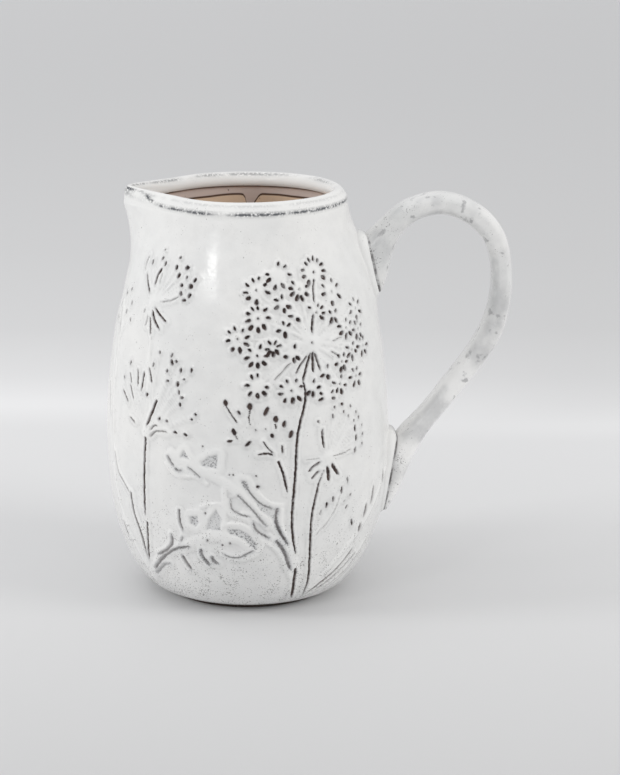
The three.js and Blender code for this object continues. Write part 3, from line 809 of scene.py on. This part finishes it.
def ease(low, high, value):
    """0 below low, 1 above high, and a soft step between them."""
    share = np.clip((value - low) / (high - low), 0, 1)
    return share * share * (3 - 2 * share)


def across_and_up(azimuth, height, at_azimuth, at_height):
    """How far places are from one place, round the wall and up it, in millimetres."""
    return np.radians(azimuth - at_azimuth) * wall_radius(at_height), height - at_height


def oval(across, up, half_length, half_width, lean):
    """The size of each place's own oval as a share of the oval with these halves."""
    lengthwise = across * math.sin(lean) + up * math.cos(lean)
    crosswise = across * math.cos(lean) - up * math.sin(lean)
    return np.hypot(lengthwise / half_length, crosswise / half_width)


RELIEF_HEIGHT = 1.3


def from_outline(azimuth, height, points):
    """How far places lie inside a closed outline, in millimetres; less than zero outside."""
    scale = math.radians(1) * float(wall_radius(points[:, 1].mean()))
    x, y = azimuth * scale, height
    inside = np.zeros(len(x), bool)
    nearest = np.full(len(x), 1e9)
    for (ax, ay), (bx, by) in zip(points * (scale, 1), np.roll(points, -1, 0) * (scale, 1)):
        run, climb = bx - ax, by - ay
        share = (((x - ax) * run + (y - ay) * climb) / (run**2 + climb**2)).clip(0, 1)
        nearest = np.minimum(nearest, np.hypot(x - ax - share * run, y - ay - share * climb))
        crosses = (ay > y) != (by > y)
        inside ^= crosses & (x < ax + run * (y - ay) / (climb if climb else 1e-9))
    return np.where(inside, nearest, -nearest)


def relief(azimuth, height):
    """At places on the wall: the clay's rise in mm, and shares of bare clay, stain and painted crease
    shade.
    """
    azimuth = np.where(azimuth > 90, 180 - azimuth, azimuth)
    azimuth = np.where(azimuth < -90, -180 - azimuth, azimuth)
    shift = np.sin(0.9 * height + 0.7 * azimuth) + np.sin(2.3 * height - 1.6 * azimuth + 2)
    sway = np.sin(1.3 * azimuth + 0.5 * height) + np.sin(3.1 * azimuth - 1.3 * height + 1)
    azimuth = azimuth + 0.05 * shift
    height = height + 0.09 * sway
    order = np.argsort(height, kind="stable")
    azimuth = azimuth[order]
    height = height[order]
    raised = np.zeros(len(azimuth))
    pressed = np.zeros(len(azimuth))
    bare = np.zeros(len(azimuth))
    stain = np.zeros(len(azimuth))
    shade_round_pits = np.zeros(len(azimuth))

    def near(low_azimuth, high_azimuth, low, high, margin):
        first, last = np.searchsorted(height, (low - margin, high + margin))
        spare = math.degrees(margin / 48)
        column = azimuth[first:last]
        inside = (column > low_azimuth - spare) & (column < high_azimuth + spare)
        return first + np.nonzero(inside)[0]

    for at_azimuth, at_height, half_length, half_width, lean, rise in puffs:
        here = near(at_azimuth, at_azimuth, at_height, at_height, 1.5 * max(half_length, half_width))
        across, up = across_and_up(azimuth[here], height[here], at_azimuth, at_height)
        share = 1 - ease(0.35, 1.45, oval(across, up, half_length, half_width, lean))
        raised[here] += (rise * share) ** 3
    for line, half_widths, tone, rise, side, strength in strands:
        low_azimuth, low = line.min(0)
        high_azimuth, high = line.max(0)
        here = near(low_azimuth, high_azimuth, low, high, 2 * side)
        if not len(here):
            continue
        around = np.radians(azimuth[here, None] - line[:, 0]) * wall_radius(height[here])[:, None]
        distance = np.hypot(around, height[here, None] - line[:, 1])
        raised[here] += (rise * (1 - ease(0.2, 1.6, distance.min(1) / side))) ** 3
        if tone == 0:
            continue
        groove = 1 - ease(0.45, 1.25, (distance / (half_widths + 0.02)).min(1))
        pressed[here] = np.maximum(pressed[here], groove)
        bare[here] = np.maximum(bare[here], tone * (0.62 if strength > 0 else 1) * groove)
        # Painted shade round the groove.
        shade_round_pits[here] = np.maximum(shade_round_pits[here], 0.5 * tone * (1 - ease(0.2, 1.5, distance.min(1))))
        if strength > 0:
            wash = 1 - ease(0.1, 1.3, distance.min(1) / 1.9)
            stain[here] = np.maximum(stain[here], strength * wash)
    for at_azimuth, at_height, half_length, half_width, lean, tone in pits:
        here = near(at_azimuth, at_azimuth, at_height, at_height, 1.3 * half_length + 1.3)
        across, up = across_and_up(azimuth[here], height[here], at_azimuth, at_height)
        share = 1 - ease(0.62, 1.18, oval(across, up, half_length, half_width, lean))
        pressed[here] = np.maximum(pressed[here], share)
        bare[here] = np.maximum(bare[here], tone * share)
        around_pit = oval(across, up, half_length + 0.9, half_width + 0.9, lean)
        # Painted shade round the pit.
        shade_round_pits[here] = np.maximum(shade_round_pits[here], 0.6 * tone * (1 - ease(0.4, 1.25, around_pit)))
    for points, strength, rim in pools:
        low_azimuth, low = points.min(0)
        high_azimuth, high = points.max(0)
        here = near(low_azimuth, high_azimuth, low, high, 4)
        if not len(here):
            continue
        depth = from_outline(azimuth[here], height[here], points)
        raised[here] = np.maximum(raised[here], (0.7 * rim * (1 - ease(0, 4, np.abs(depth + 1.6)))) ** 3)
        share = ease(-0.7, 0.7, depth)
        raised[here] *= (1 - 0.85 * share) ** 3
        pressed[here] = np.maximum(pressed[here], 0.5 * share)
        stain[here] = np.maximum(stain[here], strength * share * (0.55 + 0.45 * np.exp(-depth / 1.2)))
    raised = RELIEF_HEIGHT * np.cbrt(raised)
    # Painted shade in the creases at the foot of raised relief, and round pits and grooves.
    painted_crease_shade = np.exp(-(((raised - 0.14) / 0.14) ** 2)) * (1 - pressed)
    painted_crease_shade = np.maximum(0.3 * painted_crease_shade, shade_round_pits)
    out = np.empty((4, len(azimuth)))
    out[0, order] = raised * (1 - pressed) - 0.4 * pressed
    out[1, order] = bare
    out[2, order] = stain
    out[3, order] = painted_crease_shade
    return out


def read_all(items, name, kind=float, width=1):
    """One value of every vertex, corner or face of a mesh."""
    values = np.empty(len(items) * width, kind)
    items.foreach_get(name, values)
    return values.reshape(-1, width).T if width > 1 else values


def wall_places(mesh):
    """Each vertex's azimuth, height and distance from the axis, in degrees and millimetres."""
    x, y, z = read_all(mesh.vertices, "co", width=3) / MM
    return np.degrees(np.arctan2(x, -y)), z, np.hypot(x, y)


def on_outside(height, radius):
    inside_wall = (height > WALL_FROM - 0.5) & (height < WALL_TO + 0.5)
    return inside_wall & (radius > wall_radius(height) - 0.5 * WALL_THICKNESS)


# The wall's mesh is cut finer only where the lip and the relief need it.
bpy.context.tool_settings.mesh_select_mode = (False, False, True)


def cut_finer(chosen):
    """Subdivide the body's chosen faces once."""
    mesh = body.data
    mesh.vertices.foreach_set("select", np.zeros(len(mesh.vertices), bool))
    mesh.edges.foreach_set("select", np.zeros(len(mesh.edges), bool))
    mesh.polygons.foreach_set("select", chosen)
    bpy.ops.object.mode_set(mode="EDIT")
    bpy.ops.mesh.subdivide(number_cuts=1)
    bpy.ops.object.mode_set(mode="OBJECT")


# Round the lip: how many degrees from its middle, and from what height.
for half_angle, from_height in ((26, 178), (12, 198)):
    x, y, z = read_all(body.data.polygons, "center", width=3) / MM
    from_lip = np.degrees(np.arctan2(np.abs(y), -x))
    cut_finer((from_lip < half_angle) & (z > from_height) & (x < -36))

FINE_TO_AZIMUTH = 92
# Each pass cuts the faces on which the clay rises by more than so many mm, seen at so many samples.
RELIEF_STEPS = [(0.06, 6), (0.17, 4), (0.52, 3)]
for pass_number, (least_change, samples) in enumerate(RELIEF_STEPS):
    mesh = body.data
    azimuth, height, radius = wall_places(mesh)
    outside = on_outside(height, radius)
    corner = read_all(mesh.loops, "vertex_index", int)
    start = read_all(mesh.polygons, "loop_start", int)
    sides = read_all(mesh.polygons, "loop_total", int)
    face_outside = np.minimum.reduceat(outside[corner].astype(int), start) > 0
    face_of_corner = np.repeat(np.arange(len(start)), sides)
    first_azimuth = azimuth[corner[start]]
    turn = (azimuth[corner] - first_azimuth[face_of_corner] + 180) % 360 - 180
    low_turn = first_azimuth + np.minimum.reduceat(turn, start)
    high_turn = first_azimuth + np.maximum.reduceat(turn, start)
    low = np.minimum.reduceat(height[corner], start)
    high = np.maximum.reduceat(height[corner], start)
    chosen = np.nonzero(face_outside & (sides == 4))[0]
    cell = (WALL_TO - WALL_FROM) / (len(wall_heights) - 1) / 2**pass_number
    chosen = chosen[(high - low)[chosen] < 1.5 * cell]
    across_share, up_share = np.meshgrid(*[np.linspace(0, 1, samples)] * 2)
    sample_turn = low_turn[chosen, None] + (high_turn - low_turn)[chosen, None] * across_share.ravel()
    sample_height = low[chosen, None] + (high - low)[chosen, None] * up_share.ravel()
    sample_turn = (sample_turn + 180) % 360 - 180
    rise, bare, stain, painted_crease_shade = relief(sample_turn.ravel(), sample_height.ravel())
    rise = rise.reshape(len(chosen), -1)
    bare = bare.reshape(len(chosen), -1)
    wanted = np.ptp(rise, axis=1) > least_change
    if pass_number == len(RELIEF_STEPS) - 1:
        wanted |= np.ptp(bare, axis=1) > 0.6
        wanted &= np.abs(sample_turn.mean(1)) < FINE_TO_AZIMUTH
    select = np.zeros(len(mesh.polygons), bool)
    select[chosen[wanted]] = True
    cut_finer(select)

# The pouring lip: two straight flanks leave the rim's circle and meet at a small round tip. The rim
# dips a little towards the front.
LIP_HALF_ANGLE = math.radians(42)
LIP_TIP_ROUNDING = math.radians(4)
LIP_REACH = 13.4
LIP_STARTS = 168
LIP_THINNING = 0.42
RIM_CENTRE = 45.9
FRONT_DIP = 1.6


def lip_share(azimuth):
    """The lip's share of its full reach at an azimuth in degrees. It points to -90."""
    from_lip = np.radians((azimuth + 90 + 180) % 360 - 180)
    softened = np.minimum(np.hypot(from_lip, LIP_TIP_ROUNDING), LIP_HALF_ANGLE)
    flank = 1 / np.cos(LIP_HALF_ANGLE - softened) - 1
    return flank / (1 / math.cos(LIP_HALF_ANGLE - LIP_TIP_ROUNDING) - 1)


mesh = body.data
azimuth, height, radius = wall_places(mesh)
outside = on_outside(height, radius)
rise, bare, stain, painted_crease_shade = (np.zeros(len(azimuth)) for _ in range(4))
on_wall = relief(azimuth[outside], height[outside])
rise[outside], bare[outside], stain[outside], painted_crease_shade[outside] = on_wall
radius = np.where(outside, wall_radius(height) + rise, radius)

share = lip_share(azimuth)
in_rim = ease(199, 203, height)
slim = 1 - LIP_THINNING * share * in_rim
radius = np.where(in_rim > 0, RIM_CENTRE + (radius - RIM_CENTRE) * slim, radius)
height_now = np.where(in_rim > 0, TOP - (TOP - height) * slim, height)
lip_rise = ((height - LIP_STARTS) / (203 - LIP_STARTS)).clip(0, 1) ** 1.3
radius += share * (LIP_REACH * lip_rise - np.exp(-(((height - 153) / 9) ** 2)))
front_dip = FRONT_DIP * (0.5 + 0.5 * np.cos(np.radians(azimuth))) ** 2
height_now = height_now - front_dip * ease(184, 203, height) + 0.4 * share * in_rim

# The wall swells under the two pads of the handle.
from_handle = np.radians(azimuth - 90)
for at_height, half_height, rise_here in ((168, 20, 2.2), (60, 25, 1.8)):
    swelling = oval(from_handle * radius, height - at_height, half_height, 17, 0)
    radius = radius + outside * rise_here * (1 - ease(0.4, 1.4, swelling))

wobble = np.array([noise.noise((0.03 * v.co / MM).to_tuple()) for v in mesh.vertices])
ripple = np.array([noise.noise((0.11 * v.co / MM + Vector((9, 4, 2))).to_tuple()) for v in mesh.vertices])
above_foot = ease(2, 12, height)
radius += above_foot * (0.35 * wobble + 0.12 * ripple)
height_now -= 0.35 * np.abs(wobble) * in_rim
turn = np.radians(azimuth)
co = np.stack([radius * np.sin(turn), -radius * np.cos(turn), height_now], 1) * MM
mesh.vertices.foreach_set("co", co.ravel())

# What the glaze does is kept on the mesh: where clay shows, where stain gathers, where an edge is
# worn, and which side is the inside. The painted shade in the creases of the relief is kept there too.
INSIDE_FROM = 8.5
INSIDE_TO = 200.9
plain_radius = radius - share * LIP_REACH * lip_rise
inner_side = plain_radius < np.where(height > 197, 47, wall_radius(height) - 0.5 * WALL_THICKNESS)
inner_side &= (height > INSIDE_FROM) & (height < INSIDE_TO)
edge_height = 202.7 + 4.0 * ease(0, 0.5, share)
edge = 1.4 * np.exp(-(((height - edge_height) / 0.8) ** 2)) * (plain_radius > 46.5)
edge += 0.75 * np.exp(-(((height - 206.9) / 0.7) ** 2)) * (plain_radius < 45.5)
edge += 0.3 * np.exp(-(((height - 206.3) / 0.6) ** 2)) * (plain_radius > 46.5)
edge += 1.3 * share**2 * ease(201, 202.5, height) * (1 - ease(206, 207.3, height)) * (plain_radius > 45)
for name, values in (
    ("bare_clay", bare), ("stain", stain), ("worn_edge", edge), ("inside", inner_side.astype(float)),
    ("painted_crease_shade", painted_crease_shade),
):
    layer = mesh.attributes.new(name, "FLOAT", "POINT")
    layer.data.foreach_set("value", values.astype(np.float32))
mesh.update()

triangulate = body.modifiers.new("triangulate", "TRIANGULATE")
triangulate.min_vertices = 5
bpy.context.view_layer.objects.active = body
bpy.ops.object.modifier_apply(modifier="triangulate")
bpy.ops.object.select_all(action="DESELECT")
body.select_set(True)
bpy.ops.object.shade_smooth()
body.select_set(False)


def read_mesh(name):
    """One of the values kept on the body's mesh."""
    reader = nodes.new("ShaderNodeAttribute")
    reader.attribute_name = name
    return reader.outputs["Fac"]


nodes = white_glaze.node_tree.nodes
join = white_glaze.node_tree.links.new
surface = nodes["Principled BSDF"]
bare_share = read_mesh("bare_clay")
stain_share = read_mesh("stain")
crease_shade_share = read_mesh("painted_crease_shade")
edge_share = read_mesh("worn_edge")
inside_share = read_mesh("inside")
up = object_axes()["Z"]
low_on_wall = calc("SUBTRACT", 1, ramp(up, 0.004, 0.09))
milky = blend_colour(ramp(cloud(28), 0.35, 0.7), (0.825, 0.825, 0.815), (0.86, 0.855, 0.84))
# Painted shade: the glaze is darkened in blotches low on the wall.
painted_shade_low = calc("MULTIPLY", low_on_wall, ramp(cloud(55, 4), 0.38, 0.66))
milky = blend_colour(calc("MULTIPLY", painted_shade_low, 0.25), milky, (0.66, 0.67, 0.685))
# Painted shade in the creases of the relief, broken up by blotches.
crease_shade_break = ramp(cloud(150, 4), 0.36, 0.66)
crease_shade_tone = calc("MULTIPLY", crease_shade_share, sum_of(crease_shade_break, 0.6, 0.4))
with_crease_shade = blend_colour(calc("MULTIPLY", crease_shade_tone, 0.8), milky, (0.26, 0.26, 0.27))
dots = specks(sum_of(low_on_wall, 0.34, 0.31), 0.0007)
speckled = blend_colour(calc("MULTIPLY", dots, 0.85), with_crease_shade, (0.2, 0.19, 0.185))
stain_dots = specks(sum_of(stain_share, 1.1, 0.1), 0.0008)
washed = blend_colour(calc("MULTIPLY", stain_share, 0.5), speckled, (0.4, 0.41, 0.43))
stain_dots = calc("MULTIPLY", stain_dots, sum_of(stain_share, 0.9, 0.0))
stained = blend_colour(stain_dots, washed, (0.13, 0.13, 0.135))
edge_break = calc("MULTIPLY", ramp(cloud(70, 3), 0.3, 0.58), ramp(cloud(850, 3), 0.3, 0.56))
edge_break = calc("MULTIPLY", edge_share, edge_break)
worn = blend_colour(calc("MULTIPLY", edge_break, 0.95, True), stained, (0.12, 0.125, 0.135))
clay_tone = blend_colour(ramp(cloud(500), 0.4, 0.6), (0.045, 0.03, 0.028), (0.085, 0.055, 0.047))
bridged = sum_of(ramp(cloud(420, 2), 0.45, 0.62), -0.5, bare_share)
clay_share = calc("MAXIMUM", bridged, calc("MULTIPLY", ramp(bare_share, 0.7, 0.95), bare_share))
rim_of_pit = blend_colour(calc("MULTIPLY", ramp(bare_share, 0.08, 0.5), 0.8), worn, (0.22, 0.2, 0.2))
outside_colour = blend_colour(ramp(clay_share, 0.3, 0.68), rim_of_pit, clay_tone)

wall = object_axes()
around = calc("ARCTAN2", wall["X"], wall["Y"])
liner_edge = nodes.new("ShaderNodeFloatCurve")
join(sum_of(around, 1 / (2 * math.pi), 0.5), liner_edge.inputs["Value"])
drips = liner_edge.mapping.curves[0]
DRIPS = [
    (-150, 194), (-120, 195), (-104, 188), (-94, 195), (-60, 195.3), (-28, 195.4), (-18, 195.9),
    (-8, 196.2), (-4, 196.1), (-1.6, 194.5), (-0.4, 192), (1.5, 187), (3.6, 190.5), (6.2, 193.5),
    (8, 195.4), (10.5, 196.2), (19, 196.2), (34, 195.8), (60, 196), (74, 190), (84, 195.5), (130, 194),
]
for degrees, edge_height in DRIPS:
    drips.points.new(0.5 + degrees / 360, (edge_height - 180) / 20)
drips.points[0].location = (0, 0.7)
drips.points[-1].location = (1, 0.7)
for point in drips.points:
    point.handle_type = "AUTO_CLAMPED"
liner_edge.mapping.update()
over_edge = calc("SUBTRACT", up, sum_of(liner_edge.outputs["Value"], 0.02, 0.18))
liner = blend_colour(ramp(over_edge, -0.0006, 0.0002), (0.85, 0.67, 0.51), (0.70, 0.60, 0.56))
edge_line = calc("SUBTRACT", 1, ramp(calc("ABSOLUTE", over_edge), 0.0002, 0.0009))
liner = blend_colour(calc("MULTIPLY", edge_line, 0.95), liner, (0.07, 0.035, 0.022))
# Painted shadow: a dark band on the inside just under the rim's roll.
painted_shadow_under_roll = ramp(up, 0.1998, 0.2006)
liner = blend_colour(calc("MULTIPLY", painted_shadow_under_roll, 0.9), liner, (0.085, 0.045, 0.03))
liner_spots = specks(0.24, 0.0018)
liner = blend_colour(calc("MULTIPLY", liner_spots, 0.85), liner, (0.09, 0.05, 0.035))
whole_colour = blend_colour(ramp(inside_share, 0.3, 0.7), outside_colour, liner)
foot_share = calc("SUBTRACT", 1, ramp(up, 0.0016, 0.0021))
footed = blend_colour(foot_share, whole_colour, (0.04, 0.03, 0.026))
join(footed, surface.inputs["Base Color"])

glaze_rough = sum_of(ramp(cloud(60), 0.3, 0.75), 0.09, 0.15)
clay_rough = sum_of(calc("MAXIMUM", bare_share, foot_share), 0.35, glaze_rough)
join(clay_rough, surface.inputs["Roughness"])
dimple = nodes.new("ShaderNodeBump")
dimple.inputs["Strength"].default_value = 0.25
dimple.inputs["Distance"].default_value = 0.0004
join(cloud(260, 2), dimple.inputs["Height"])
join(dimple.outputs["Normal"], surface.inputs["Normal"])
surface.inputs["IOR"].default_value = 1.42
body.data.materials.clear()
body.data.materials.append(white_glaze)
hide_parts("body_wall", "rim_roll")
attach(body, "root")

low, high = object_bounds()
